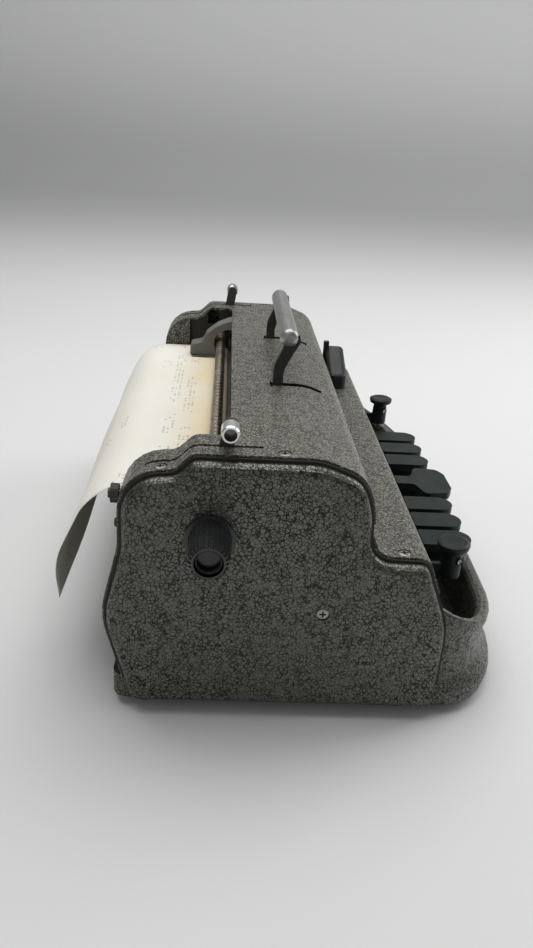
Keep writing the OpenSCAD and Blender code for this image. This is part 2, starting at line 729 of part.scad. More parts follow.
// ---- Carriage ---------------------------------------------------------------------------
tray_y = 28;
tray_z = [98, 114];
upright_y = [17.5, 28.5];
die_arm = 34;
head_z = [138.5, top_z - sheet_t - 0.8];
die_z = 79.5;
module carriage_body() {
    color("#6d6f6b")
        translate([carriage_x, 0, 0])
            difference() {
                union() {
                    along_x(-carriage_half, carriage_half) {
                        translate([-tray_y, tray_z[0]]) square([2 * tray_y, tray_z[1] - tray_z[0]]);
                        translate([upright_y[0], die_z]) square([upright_y[1] - upright_y[0], 138 - die_z]);
                        translate([upright_y[0], die_z]) square([die_arm, 5]);
                    }
                }
                for (k = [0, 1])
                    bar_x(-carriage_half - 1, carriage_half + 1, rail_y[k], rail_z[k],
                        rail_d + 2 * shaft_gap);
                translate([-carriage_half - 1, -13, 90]) cube([2 * carriage_half + 2, 26, 14]);
            }
    // Ears and pin of the escapement pawl
    color("#6d6f6b") {
        for (s = [-1, 1])
            translate([carriage_x + s * 3 - 1, rack_y - 3, escape_z - 2]) cube([2, 6, 104.01 - escape_z + 2]);
        bar_x(carriage_x - 4, carriage_x + 4, rack_y, escape_z, 2);
    }
}
die_y = [53.2, 64];
module die_block() {
    color("#b0a078")
        translate([carriage_x, 0, 0])
            difference() {
                translate([-foot_l / 2, die_y[0], die_z + 5])
                    cube([foot_l, die_y[1] - die_y[0], paper_z - run_gap - die_z - 5]);
                for (i = [-1, 1], j = [-1, 0, 1])
                    translate([i * 1.2, 58.6 + j * 2.4, paper_z - 8]) cylinder(h = 10, d = 1.5, $fn = 16);
            }
    color("#b0a078")
        translate([carriage_x - foot_l / 2, upright_y[0] + die_arm + eps, die_z])
            cube([foot_l, die_y[1] - upright_y[0] - die_arm, 5]);
}
// The casting whose foot stands over the paper and whose neck arches over the rods
module embossing_head() {
    arch = [[46, foot_z, 1], [48.5, 127, 3], [48, 133, 8], [40, head_z[0] - 0.2, 8],
            [30, head_z[0], 0], [upright_y[0], 138.05, 0], [upright_y[0], head_z[1], 0], [36, head_z[1], 14],
            [46, 141, 10], [54.5, 134, 6], [57, 127.5, 5], [66.5, 125.4, 2], [66.8, foot_z, 1]];
    color("#8b8d8c")
        translate([carriage_x, 0, 0]) {
            along_x(-foot_l / 2, foot_l / 2) polygon(rounded(arch, 4));
            along_x(-carriage_half, carriage_half)
                polygon([[upright_y[0], 138.05], [33, 138.4], [33, head_z[1]], [upright_y[0], head_z[1]]]);
        }
}
lever_y = [-56.5, -42];
lever_z = 98.4;
lever_rise = 0.36;
lever_h = 12;
lever_r = 4.5;
lever_edge = 1.4;
tab_rise = 6;
tongue_z = [103.5, 107.5];
module carriage_lever() {
    color("#2f3436")
        translate([carriage_x - 4, 0, 0]) {
            // Steel tongue through the gap under the cover, turned up below the grip
            along_x(-7, 7)
                polygon([[-tray_y - eps, tongue_z[0]], [-tray_y - eps, tongue_z[1]],
                    [lever_y[1] - 1, tongue_z[1]],
                    [lever_y[1] - 1, 112], [lever_y[0] + 4, 112], [lever_y[0] + 4, tongue_z[0]]]);
            hull()
                for (x = [-lever_l / 2 + lever_r, lever_l / 2 - lever_r],
                     y = [lever_y[0] + lever_r, lever_y[1] - lever_r])
                    translate([x, y, lever_z + (x + lever_l / 2) * lever_rise]) {
                        cylinder(h = lever_h - lever_edge, r = lever_r, $fn = 32);
                        cylinder(h = lever_h, r = lever_r - lever_edge, $fn = 32);
                    }
            // Small tab on the far corner, beside the cover
            translate([lever_l / 2 - 8, lever_y[1] - 2.5, lever_z + (lever_l - 8) * lever_rise])
                cube([5, 4, lever_h + tab_rise]);
        }
}
pawl_gap = 0.6;
escape_z = rack_top_z + 4.5;
module escapement_pawl() {
    color("#a5a7a8")
        difference() {
            translate([carriage_x - 1.5, rack_y - 6, rack_top_z + pawl_gap]) cube([3, 12, 6.6]);
            bar_x(carriage_x - 3, carriage_x + 3, rack_y, escape_z, 2 + 2 * shaft_gap);
        }
}
drum_y = -12;
drum_z = 72;
drum_r = 20;
drum_x = [side_x + 3, side_x + 13];
drum_rim = 1.2;
drum_stud = [drum_y, drum_z, 6, 13];
module spring_drum() {
    color("#8d8f90")
        difference() {
            union() {
                bar_x(drum_x[0], drum_x[0] + drum_rim, drum_y, drum_z, 2 * drum_r);
                bar_x(drum_x[0], drum_x[1], drum_y, drum_z, 2 * drum_r - 4);
                bar_x(drum_x[1] - drum_rim, drum_x[1], drum_y, drum_z, 2 * drum_r);
            }
            bar_x(drum_x[0] - 1, drum_x[1] + 1, drum_y, drum_z, drum_stud[2] + 2 * shaft_gap);
        }
}
bell_y = 12;
bell_z = 55;
bell_x = -side_x - 4.5;
bell_r = 16;
bell_stud = [bell_y, bell_z, 5, -bell_x - side_x - side_t / 2];
// A dome, open towards the end panel
module bell() {
    color("#c9a54a")
        translate([bell_x, bell_y, bell_z]) rotate([0, -90, 0])
            rotate_extrude()
                polygon([[0, 0], [bell_r - 9, 0.4], [bell_r - 3, 3], [bell_r, 8], [bell_r - 1, 8],
                    [bell_r - 3.7, 3.9], [bell_r - 9, 1.4], [0, 1]]);
}
hammer_y = 35;
hammer_z = 80;
hammer_tip_y = bell_y + bell_r + 2.6;
hammer_stud = [hammer_y, hammer_z, 3, 9];
hammer_x = -side_x - 8.5;
// Hangs from its stud, with a ball beside the bell's rim
module bell_hammer() {
    color("#a5a7a8")
        difference() {
            union() {
                bar_x(hammer_x - 1.5, hammer_x + 1.5, hammer_y, hammer_z, 6);
                along_x(hammer_x - 1, hammer_x + 1)
                    polygon([[hammer_y - 1.5, hammer_z], [hammer_y + 1.5, hammer_z],
                        [hammer_tip_y + 1, bell_z], [hammer_tip_y - 1, bell_z]]);
                translate([hammer_x, hammer_tip_y, bell_z]) sphere(d = 4);
            }
            bar_x(hammer_x - 3, hammer_x + 3, hammer_y, hammer_z, hammer_stud[2] + 2 * shaft_gap);
        }
}

// ---- Keys -------------------------------------------------------------------------------
key_pivot = [5, 50];
function key_x(i) = (i <= 3 ? -1 : 1) * (key_first_x + key_pitch * ((i - 1) % 3));
bar_y0 = 41;
bar_step = 4;
bar_z = [66, 74];
lever_back_z = 58;
lever_t = 3;
// A key lever: from under its cap to the shaft, then back under its bar
module key_lever(x, cap_y, back_y, front_top) {
    difference() {
        union() {
            along_x(x - lever_t / 2, x + lever_t / 2)
                polygon(rounded([[cap_y, front_top, 0], [cap_y, front_top - 8, 3], [-40, 44, 8],
                    [key_pivot[0], key_pivot[1] - 5, 4], [back_y + 1.6, 52, 1],
                    [back_y + 1.6, bar_z[0] - 0.4, 0.3], [back_y - 0.8, bar_z[0] - 0.4, 0.3],
                    [back_y - 0.8, lever_back_z, 0.3], [12, 56, 6],
                    [-50, 56, 8], [key_root_y + 6, front_top, 4]]));
            bar_x(x - 4, x + 4, key_pivot[0], key_pivot[1], key_shaft_d + 5);
        }
        bar_x(x - 6, x + 6, key_pivot[0], key_pivot[1], key_shaft_d + 2 * shaft_gap);
    }
}
module dot_key(i) {
    color("#2f3a38") {
        translate([key_x(i), 0, key_z - key_t]) linear_extrude(key_t)
            polygon(rounded([[-key_w / 2, key_root_y, 1], [-key_w / 2, key_tip_y, key_w / 2 - 0.2],
                [key_w / 2, key_tip_y, key_w / 2 - 0.2], [key_w / 2, key_root_y, 1]], 8));
        key_lever(key_x(i), key_tip_y + 14, bar_y0 + bar_step * (i - 1), key_z - key_t);
    }
}
space_tip_y = -121;
space_neck_y = -99;
space_stem_w = 13;
module space_key() {
    color("#2f3a38") {
        translate([0, 0, key_z - key_t]) linear_extrude(key_t)
            polygon(rounded([[-space_stem_w / 2, key_root_y, 1], [-space_stem_w / 2, space_neck_y + 3, 4],
                [-space_w / 2, space_neck_y - 2, 4], [-space_w / 2 + 2, space_tip_y + 4, 5],
                [-space_w / 2 + 10, space_tip_y, 6], [space_w / 2 - 10, space_tip_y, 6],
                [space_w / 2 - 2, space_tip_y + 4, 5], [space_w / 2, space_neck_y - 2, 4],
                [space_stem_w / 2, space_neck_y + 3, 4], [space_stem_w / 2, key_root_y, 1]], 6));
        key_lever(0, space_neck_y, 28, key_z - key_t);
    }
}
round_y = -92;
module round_key(side) {
    x = side * round_key_x;
    color("#2f3a38") {
        translate([x, round_y, 0]) {
            rotate_extrude()
                polygon(rounded([[0, round_key_z - 0.6, 0], [round_key_d / 2 - 2, round_key_z, 1],
                    [round_key_d / 2, round_key_z - 1, 0.8], [round_key_d / 2 - 0.6, round_key_z - 4, 1],
                    [5.2, round_key_z - 5.5, 2], [5.8, round_key_z - 12, 0.5], [5.8, 62, 1], [0, 62, 0]]));
        }
        key_lever(x, round_y + 3, 28, 70);
    }
}
module line_space_key() {
    round_key(-1);
}
module backspace_key() {
    round_key(1);
}
module key_shaft() {
    color("silver") bar_x(-inner_x, inner_x, key_pivot[0], key_pivot[1], key_shaft_d);
}
comb_y = -56;
module key_comb() {
    slots = concat([for (i = [1:6]) key_x(i)], [0, -round_key_x, round_key_x]);
    color("#55575a")
        difference() {
            translate([-inner_x, comb_y, 24]) cube([2 * inner_x, 3, 44]);
            for (x = slots) translate([x - lever_t / 2 - 0.6, comb_y - 1, 36]) cube([lever_t + 1.2, 5, 40]);
        }
}
module emboss_bar(i) {
    y = bar_y0 + bar_step * (i - 1);
    color("#8d8f90") translate([-inner_x + run_gap, y - 1.2, bar_z[0]])
        cube([2 * (inner_x - run_gap), 2.4, bar_z[1] - bar_z[0]]);
}

base_casting();
front_apron();
bottom_plate();
rubber_feet();
end_panel(-1);  // left_end_panel
end_panel(1);  // right_end_panel
seam_strip(-1);  // left_seam_strip
seam_strip(1);  // right_seam_strip
top_cover();
keyboard_strip();
side_plate(-1);  // left_side_plate
side_plate(1);  // right_side_plate
case_screws();
rear_screws();
thumb_nut();
grooved_rod();
smooth_rod();
handle_shaft();
carriage_rails();
rack_bar();
paper_table();
paper_sheet();
key_shaft();
key_comb();
bell();
bell_hammer();
feed_roller();
knob(-1);  // left_knob
knob(1);  // right_knob
ratchet_wheel();
detent_pawl();
pressure_rollers();
release_lever(-1);  // left_release_lever
release_lever(1);  // right_release_lever
release_button(-1);  // left_release_button
release_button(1);  // right_release_button
handle_grip();
handle_arm(-1);  // left_handle_arm
handle_arm(1);  // right_handle_arm
carriage_body();
embossing_head();
carriage_lever();
die_block();
escapement_pawl();
spring_drum();
space_key();
line_space_key();
backspace_key();
for (i = [1:6]) {
    dot_key(i);
    emboss_bar(i);
}
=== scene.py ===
import math
import bpy
import bmesh
from mathutils import Matrix, Vector


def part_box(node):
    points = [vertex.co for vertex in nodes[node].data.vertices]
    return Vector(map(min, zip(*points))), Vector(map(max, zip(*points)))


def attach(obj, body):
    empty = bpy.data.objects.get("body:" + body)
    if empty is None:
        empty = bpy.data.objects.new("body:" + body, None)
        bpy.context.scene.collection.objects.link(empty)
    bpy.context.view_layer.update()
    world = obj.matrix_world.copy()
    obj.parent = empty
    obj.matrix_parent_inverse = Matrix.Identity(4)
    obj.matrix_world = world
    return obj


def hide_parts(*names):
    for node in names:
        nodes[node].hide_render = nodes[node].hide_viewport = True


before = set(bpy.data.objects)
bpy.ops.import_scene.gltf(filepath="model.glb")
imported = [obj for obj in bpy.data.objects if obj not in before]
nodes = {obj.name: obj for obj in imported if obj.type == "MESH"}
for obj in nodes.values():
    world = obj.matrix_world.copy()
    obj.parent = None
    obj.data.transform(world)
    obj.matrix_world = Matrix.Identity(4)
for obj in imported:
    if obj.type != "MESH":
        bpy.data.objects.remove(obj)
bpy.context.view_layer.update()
scene = bpy.context.scene
print("frame loaded:", len(nodes), "nodes")

cameraSet = {
    "place": (-0.522673, 0.039685, 0.294889),
    "right": (-0.0356, -0.9975, 0.0605),
    "down": (-0.4046, -0.0409, -0.9136),
    "focalPixels": 820.06,
    "imageWidth": 533,
    "sensorWidth": 36,
    "nearClip": 0.01,
}


def makeCamera(s):
    camData = bpy.data.cameras.new("photoCamera")
    cam = bpy.data.objects.new("photoCamera", camData)
    scene.collection.objects.link(cam)
    right = Vector(s["right"]).normalized()
    up = -Vector(s["down"])
    up = (up - right * up.dot(right)).normalized()
    back = right.cross(up)
    cam.matrix_world = Matrix((
        (right.x, up.x, back.x, s["place"][0]),
        (right.y, up.y, back.y, s["place"][1]),
        (right.z, up.z, back.z, s["place"][2]),
        (0, 0, 0, 1)))
    camData.sensor_fit = "HORIZONTAL"
    camData.sensor_width = s["sensorWidth"]
    camData.lens = s["focalPixels"] / s["imageWidth"] * s["sensorWidth"]
    camData.clip_start = s["nearClip"]
    scene.camera = cam


makeCamera(cameraSet)


# short forms for the nodes that the materials are made of

def newMaterial(name):
    mat = bpy.data.materials.new(name)
    mat.use_nodes = True
    tree = mat.node_tree
    return mat, tree, tree.nodes["Principled BSDF"]


def newGroup(name, inputs, outputs):
    g = bpy.data.node_groups.new(name, "ShaderNodeTree")
    for label, kind, value in inputs:
        sock = g.interface.new_socket(name=label, in_out="INPUT", socket_type=kind)
        if value is not None:
            sock.default_value = value
    for label in outputs:
        g.interface.new_socket(name=label, in_out="OUTPUT", socket_type="NodeSocketFloat")
    gin = g.nodes.new("NodeGroupInput")
    gout = g.nodes.new("NodeGroupOutput")
    return g, gin.outputs, gout.inputs


def useGroup(tree, group, vector, values):
    node = tree.nodes.new("ShaderNodeGroup")
    node.node_tree = group
    tree.links.new(vector, node.inputs["Vector"])
    for label, value in values.items():
        node.inputs[label].default_value = value
    return node.outputs


def fill(tree, socket, value):
    # a number or colour is set on the socket, and anything else is linked to it
    if isinstance(value, (int, float)):
        socket.default_value = value
    elif isinstance(value, tuple):
        socket.default_value = (*value, 1)
    else:
        tree.links.new(value, socket)


def mathNode(tree, operation, a, b=None):
    node = tree.nodes.new("ShaderNodeMath")
    node.operation = operation
    fill(tree, node.inputs[0], a)
    if b is not None:
        fill(tree, node.inputs[1], b)
    return node.outputs[0]


def times(tree, a, b):
    return mathNode(tree, "MULTIPLY", a, b)


def plus(tree, a, b):
    return mathNode(tree, "ADD", a, b)


def minus(tree, a, b):
    return mathNode(tree, "SUBTRACT", a, b)


def below(tree, a, b):
    return mathNode(tree, "LESS_THAN", a, b)


def awayFrom(tree, value, place):
    return mathNode(tree, "ABSOLUTE", minus(tree, value, place))


def radiusOf(tree, a, b):
    return mathNode(tree, "SQRT", plus(tree, times(tree, a, a), times(tree, b, b)))


def noiseNode(tree, vector, scale, detail=3.0, rough=0.55):
    node = tree.nodes.new("ShaderNodeTexNoise")
    fill(tree, node.inputs["Scale"], scale)
    node.inputs["Detail"].default_value = detail
    node.inputs["Roughness"].default_value = rough
    tree.links.new(vector, node.inputs["Vector"])
    return node.outputs


def pairNoise(tree, a, b):
    # one random value for each pair of whole numbers
    pair = tree.nodes.new("ShaderNodeCombineXYZ")
    tree.links.new(a, pair.inputs[0])
    tree.links.new(b, pair.inputs[1])
    node = tree.nodes.new("ShaderNodeTexWhiteNoise")
    node.noise_dimensions = "3D"
    tree.links.new(pair.outputs[0], node.inputs["Vector"])
    return node.outputs["Value"]


def rampNode(tree, value, lo, hi, outLo=0.0, outHi=1.0):
    node = tree.nodes.new("ShaderNodeMapRange")
    node.interpolation_type = "SMOOTHSTEP"
    for label, v in (("From Min", lo), ("From Max", hi), ("To Min", outLo), ("To Max", outHi)):
        node.inputs[label].default_value = v
    tree.links.new(value, node.inputs["Value"])
    return node.outputs[0]


def mixColour(tree, factor, a, b):
    node = tree.nodes.new("ShaderNodeMix")
    node.data_type = "RGBA"
    for label, value in (("Factor", factor), ("A", a), ("B", b)):
        fill(tree, node.inputs[label], value)
    return node.outputs["Result"]


def tint(tree, mask, share, base, colour):
    return mixColour(tree, times(tree, mask, share), base, colour)


def addBump(tree, bsdf, height, strength, distance):
    bump = tree.nodes.new("ShaderNodeBump")
    bump.inputs["Strength"].default_value = strength
    bump.inputs["Distance"].default_value = distance
    tree.links.new(height, bump.inputs["Height"])
    tree.links.new(bump.outputs["Normal"], bsdf.inputs["Normal"])


def objectCoord(tree, scale=(1, 1, 1)):
    coord = tree.nodes.new("ShaderNodeTexCoord")
    mapping = tree.nodes.new("ShaderNodeMapping")
    mapping.inputs["Scale"].default_value = scale
    tree.links.new(coord.outputs["Object"], mapping.inputs["Vector"])
    return mapping.outputs["Vector"]


def splitXYZ(tree, vector):
    node = tree.nodes.new("ShaderNodeSeparateXYZ")
    tree.links.new(vector, node.inputs[0])
    return node.outputs


studioSet = {
    "floorColour": (0.79, 0.79, 0.785),
    # the wall part of the one sheet is painted darker than the floor as painted shade, and lighter towards its
    # top as painted light
    "wallShadeColour": (0.33, 0.334, 0.33),
    "wallTopLightColour": (0.52, 0.525, 0.52),
    "floorToWall": (-0.02, 0.16), "wallToTop": (0.2, 0.45),   # the heights over which the colours change
    "rough": 0.85,
    "nearX": -3.0, "wallX": 1.10, "wallTop": 2.6, "halfWidth": 2.5, "bend": 0.42, "bendSteps": 12,
    "worldColour": (0.62, 0.63, 0.64), "worldStrength": 0.38,
    "lampTarget": (0.0, 0.0, 0.1),
    "lamps": {   # place, size and power
        "topSoft": ((0.18, 0.10, 1.25), (1.5, 1.3), 13.5),
        "frontSoft": ((0.5, -1.1, 0.75), (0.8, 0.9), 7.0),
        "fillSoft": ((-1.1, 0.4, 0.5), (1.0, 0.8), 0.45),
    },
}


def sweepMaterial(s):
    mat, tree, bsdf = newMaterial("paleFloor")
    bsdf.inputs["Roughness"].default_value = s["rough"]
    coord = tree.nodes.new("ShaderNodeTexCoord")
    z = splitXYZ(tree, coord.outputs["Object"])["Z"]
    # painted shade on the wall, turning to painted light towards its top; the floor keeps its even pale colour
    wall = mixColour(tree, rampNode(tree, z, *s["wallToTop"]), s["wallShadeColour"], s["wallTopLightColour"])
    pale = mixColour(tree, rampNode(tree, z, *s["floorToWall"]), s["floorColour"], wall)
    tree.links.new(pale, bsdf.inputs["Base Color"])
    return mat


def makeSweep(s):
    # floor and back wall are one sheet, bent between them
    bm = bmesh.new()
    wallX, bend, steps = s["wallX"], s["bend"], s["bendSteps"]
    line = [(s["nearX"], 0.0), (wallX - bend, 0.0)]
    line += [(wallX - bend + bend * math.sin(a), bend - bend * math.cos(a))
             for a in [math.pi / 2 * i / steps for i in range(1, steps + 1)]]
    line += [(wallX, s["wallTop"])]
    verts = [bm.verts.new((x, -s["halfWidth"], z)) for x, z in line]
    edges = [bm.edges.new(pair) for pair in zip(verts, verts[1:])]
    out = bmesh.ops.extrude_edge_only(bm, edges=edges)
    moved = [v for v in out["geom"] if isinstance(v, bmesh.types.BMVert)]
    bmesh.ops.translate(bm, verts=moved, vec=(0, 2 * s["halfWidth"], 0))
    bmesh.ops.recalc_face_normals(bm, faces=bm.faces)
    mesh = bpy.data.meshes.new("studioSweep")
    bm.to_mesh(mesh)
    bm.free()
    for p in mesh.polygons:
        p.use_smooth = True
    floor = bpy.data.objects.new("studioSweep", mesh)
    scene.collection.objects.link(floor)
    mesh.materials.append(sweepMaterial(s))


def makeWorld(s):
    world = bpy.data.worlds.new("studioWorld")
    world.use_nodes = True
    background = world.node_tree.nodes["Background"]
    background.inputs["Color"].default_value = (*s["worldColour"], 1)
    background.inputs["Strength"].default_value = s["worldStrength"]
    scene.world = world


def areaLight(name, place, target, size, power):
    light = bpy.data.lights.new(name, "AREA")
    light.shape = "RECTANGLE"
    light.size, light.size_y = size
    light.energy = power
    obj = bpy.data.objects.new(name, light)
    scene.collection.objects.link(obj)
    way = Vector(target) - Vector(place)
    obj.matrix_world = Matrix.Translation(place) @ way.to_track_quat("-Z", "Y").to_matrix().to_4x4()


makeSweep(studioSet)
makeWorld(studioSet)
for lampName, (place, size, power) in studioSet["lamps"].items():
    areaLight(lampName, place, studioSet["lampTarget"], size, power)
scene.view_settings.view_transform = "Standard"
print("studio made")


# effects that more than one material uses

hammerCellsSet = {
    "cellScale": 450.0, "veinWidth": 0.18, "warp": 1.1, "warpDetail": 2.0,
    "patchScale": 0.45, "patchRange": (0.36, 0.64), "widthShare": (0.55, 1.3),
    "veinFull": 0.8, "dimpleEdge": 0.75,
}


def buildHammerCells(s):
    # hammered enamel: islands of paint with dark veins between them, and a small dimple on each island
    g, gin, gout = newGroup("hammerCells",
        [("Vector", "NodeSocketVector", None), ("Cell Scale", "NodeSocketFloat", s["cellScale"]),
         ("Vein Width", "NodeSocketFloat", s["veinWidth"])],
        ["Vein", "Dimple", "Tint"])
    warp = noiseNode(g, gin["Vector"], gin["Cell Scale"], s["warpDetail"])
    scaled = g.nodes.new("ShaderNodeVectorMath")
    scaled.operation = "SCALE"
    g.links.new(warp["Color"], scaled.inputs[0])
    g.links.new(mathNode(g, "DIVIDE", s["warp"], gin["Cell Scale"]), scaled.inputs["Scale"])
    shift = g.nodes.new("ShaderNodeVectorMath")
    shift.operation = "ADD"
    g.links.new(gin["Vector"], shift.inputs[0])
    g.links.new(scaled.outputs[0], shift.inputs[1])
    edge = g.nodes.new("ShaderNodeTexVoronoi")
    edge.feature = "DISTANCE_TO_EDGE"
    island = g.nodes.new("ShaderNodeTexVoronoi")
    island.feature = "F1"
    for node in (edge, island):
        g.links.new(shift.outputs[0], node.inputs["Vector"])
        g.links.new(gin["Cell Scale"], node.inputs["Scale"])
    patch = noiseNode(g, gin["Vector"], times(g, gin["Cell Scale"], s["patchScale"]))
    width = times(g, gin["Vein Width"], rampNode(g, patch["Fac"], *s["patchRange"], *s["widthShare"]))
    vein = minus(g, 1.0, mathNode(g, "DIVIDE", edge.outputs["Distance"], width))
    g.links.new(rampNode(g, vein, 0.0, s["veinFull"]), gout["Vein"])
    g.links.new(rampNode(g, island.outputs["Distance"], 0.0, s["dimpleEdge"]), gout["Dimple"])
    sep = g.nodes.new("ShaderNodeSeparateColor")
    g.links.new(island.outputs["Color"], sep.inputs[0])
    g.links.new(sep.outputs[0], gout["Tint"])
    return g


wearDustSet = {
    "blotchScale": 18.0, "blotchDetail": 5.0, "blotchRange": (0.35, 0.65), "dustRange": (0.4, 0.7),
    "speckScale": 900.0, "speckDetail": 2.0, "speckRange": (0.4, 0.62), "grain": 0.6, "upRange": (0.4, 1.0),
}


def buildWearDust(s):
    # soft blotches of dirt and handling, a finer speckle over them, and light dust on what faces up
    g, gin, gout = newGroup("wearDust",
        [("Vector", "NodeSocketVector", None), ("Blotch Scale", "NodeSocketFloat", s["blotchScale"]),
         ("Speck Scale", "NodeSocketFloat", s["speckScale"])],
        ["Blotch", "Speck", "Dust"])
    blotch = noiseNode(g, gin["Vector"], gin["Blotch Scale"], s["blotchDetail"], s["grain"])["Fac"]
    speck = noiseNode(g, gin["Vector"], gin["Speck Scale"], s["speckDetail"], s["grain"])["Fac"]
    g.links.new(rampNode(g, blotch, *s["blotchRange"]), gout["Blotch"])
    g.links.new(rampNode(g, speck, *s["speckRange"]), gout["Speck"])
    geo = g.nodes.new("ShaderNodeNewGeometry")
    up = rampNode(g, splitXYZ(g, geo.outputs["Normal"])["Z"], *s["upRange"])
    g.links.new(times(g, up, rampNode(g, blotch, *s["dustRange"])), gout["Dust"])
    return g


brushingSet = {
    "lineScale": 900.0, "lineDetail": 4.0, "lineRough": 0.65,
    "stainScale": 0.06, "stainDetail": 4.0, "stainRange": (0.35, 0.7),
}


def buildBrushing(s):
    # fine turning or brushing lines, drawn out where the given coordinates are stretched, and broad stains
    g, gin, gout = newGroup("brushing",
        [("Vector", "NodeSocketVector", None), ("Line Scale", "NodeSocketFloat", s["lineScale"])],
        ["Line", "Stain"])
    fine = noiseNode(g, gin["Vector"], gin["Line Scale"], s["lineDetail"], s["lineRough"])
    stain = noiseNode(g, gin["Vector"], times(g, gin["Line Scale"], s["stainScale"]), s["stainDetail"])
    g.links.new(fine["Fac"], gout["Line"])
    g.links.new(rampNode(g, stain["Fac"], *s["stainRange"]), gout["Stain"])
    return g


hammerCells = buildHammerCells(hammerCellsSet)
wearDust = buildWearDust(wearDustSet)
brushing = buildBrushing(brushingSet)


def insideMask(tree, at, opening):
    # 1 inside a slot that is cut on both sides of the machine at the same distance from its middle; the paint
    # is made near black there, as painted shade in the slot
    awayX, halfX, lowY, highY = opening
    offX = awayFrom(tree, mathNode(tree, "ABSOLUTE", at["X"]), awayX)
    offY = awayFrom(tree, at["Y"], (lowY + highY) / 2)
    return times(tree, below(tree, offX, halfX), below(tree, offY, (highY - lowY) / 2))


def hammerPaint(name, s):
    mat, tree, bsdf = newMaterial(name)
    vec = objectCoord(tree)
    cells = useGroup(tree, hammerCells, vec, {"Cell Scale": s["cellScale"], "Vein Width": s["veinWidth"]})
    wear = useGroup(tree, wearDust, vec, {"Blotch Scale": s["blotchScale"], "Speck Scale": s["speckScale"]})
    colour = mixColour(tree, cells["Tint"], s["islandDark"], s["islandLight"])
    colour = tint(tree, wear["Speck"], s["speckMix"], colour, s["speckColour"])
    colour = tint(tree, cells["Vein"], s["veinMix"], colour, s["veinColour"])
    colour = tint(tree, wear["Blotch"], s["blotchMix"], colour, s["blotchColour"])
    colour = tint(tree, wear["Dust"], s["dustMix"], colour, s["dustColour"])
    # painted shade: the cover is coloured near black over its slots and slits, walls included
    if s.get("openings"):
        at = splitXYZ(tree, vec)
        cut = insideMask(tree, at, s["openings"][0])
        for opening in s["openings"][1:]:
            cut = mathNode(tree, "MAXIMUM", cut, insideMask(tree, at, opening))
        colour = mixColour(tree, cut, colour, s["slotShadeColour"])
    tree.links.new(colour, bsdf.inputs["Base Color"])
    soiled = rampNode(tree, wear["Blotch"], 0.0, 1.0, s["rough"], s["rough"] + s["blotchRough"])
    rough = plus(tree, times(tree, cells["Vein"], s["veinRough"]), soiled)
    tree.links.new(rough, bsdf.inputs["Roughness"])
    bsdf.inputs["Metallic"].default_value = s["metallic"]
    bsdf.inputs["Coat Weight"].default_value = s["coat"]
    bsdf.inputs["Coat Roughness"].default_value = s["coatRough"]
    height = minus(tree, cells["Dimple"], times(tree, cells["Vein"], s["veinSink"]))
    addBump(tree, bsdf, height, s["bump"], s["bumpDepth"])
    return mat


hammerBase = {
    "speckMix": 0.5, "veinMix": 0.95, "veinRough": 0.25, "blotchRough": 0.1, "coatRough": 0.18,
    "veinSink": 0.6, "bumpDepth": 0.0006,
}
panelPaintSet = dict(
    hammerBase, cellScale=500.0, veinWidth=0.15, blotchScale=14.0, speckScale=1500.0,
    islandDark=(0.118, 0.118, 0.103), islandLight=(0.158, 0.158, 0.139),
    speckColour=(0.11, 0.11, 0.096), veinColour=(0.008, 0.008, 0.006),
    blotchColour=(0.12, 0.118, 0.10), blotchMix=0.2, dustColour=(0.36, 0.35, 0.32), dustMix=0.05,
    rough=0.25, metallic=0.88, coat=0.1, bump=0.28)
# the front apron has the panel paint, here lighter and less metallic: painted light for its shaded trough
apronLitPaintSet = dict(
    panelPaintSet, islandDark=(0.13, 0.13, 0.115), islandLight=(0.17, 0.17, 0.15), metallic=0.4, rough=0.32)
coverPaintSet = dict(
    hammerBase, cellScale=520.0, veinWidth=0.24, blotchScale=9.0, speckScale=1300.0,
    islandDark=(0.145, 0.142, 0.105), islandLight=(0.240, 0.235, 0.180),
    speckColour=(0.38, 0.37, 0.30), veinColour=(0.022, 0.021, 0.014),
    blotchColour=(0.13, 0.127, 0.10), blotchMix=0.16, dustColour=(0.30, 0.29, 0.26), dustMix=0.1,
    rough=0.34, metallic=0.3, coat=0.25, bump=0.9,
    # openings coloured near black on the cover, as painted shade inside them
    openings=[   # x, half width, y from, y to
        (0.055, 0.0028, -0.0192, 0.012),   # handle slots
        (0.055, 0.0048, 0.0108, 0.012),   # cross cuts at their ends
        (0.157, 0.0013, 0.019, 0.076),   # slits beside the release buttons
    ],
    slotShadeColour=(0.008, 0.008, 0.007))
panelPaint = hammerPaint("hammerPanel", panelPaintSet)
apronLitPaint = hammerPaint("hammerApronLit", apronLitPaintSet)
coverPaint = hammerPaint("hammerCover", coverPaintSet)


def hollowMask(tree, vec, placeY, placeZ, radius):
    # 1 inside a round recess whose axis runs along the machine; the colour is made darker there, as painted
    # shade in the recess
    at = splitXYZ(tree, vec)
    return below(tree, radiusOf(tree, minus(tree, at["Y"], placeY), minus(tree, at["Z"], placeZ)), radius)


def crossMask(tree, vec, s):
    # 1 in the cross recess of each case screw; X counts from the machine's middle, the same on both sides. The
    # head is coloured near black there, as painted shade in the recess
    at = splitXYZ(tree, vec)
    total = None
    for axisA, axisB, placeA, placeB in s["crosses"]:
        offs = []
        for axis, place in ((axisA, placeA), (axisB, placeB)):
            value = mathNode(tree, "ABSOLUTE", at[axis]) if axis == "X" else at[axis]
            offs.append(awayFrom(tree, value, place))
        arm = below(tree, mathNode(tree, "MINIMUM", *offs), s["crossHalf"])
        near = below(tree, mathNode(tree, "MAXIMUM", *offs), s["crossReach"])
        mask = times(tree, arm, near)
        total = mask if total is None else mathNode(tree, "MAXIMUM", total, mask)
    return total


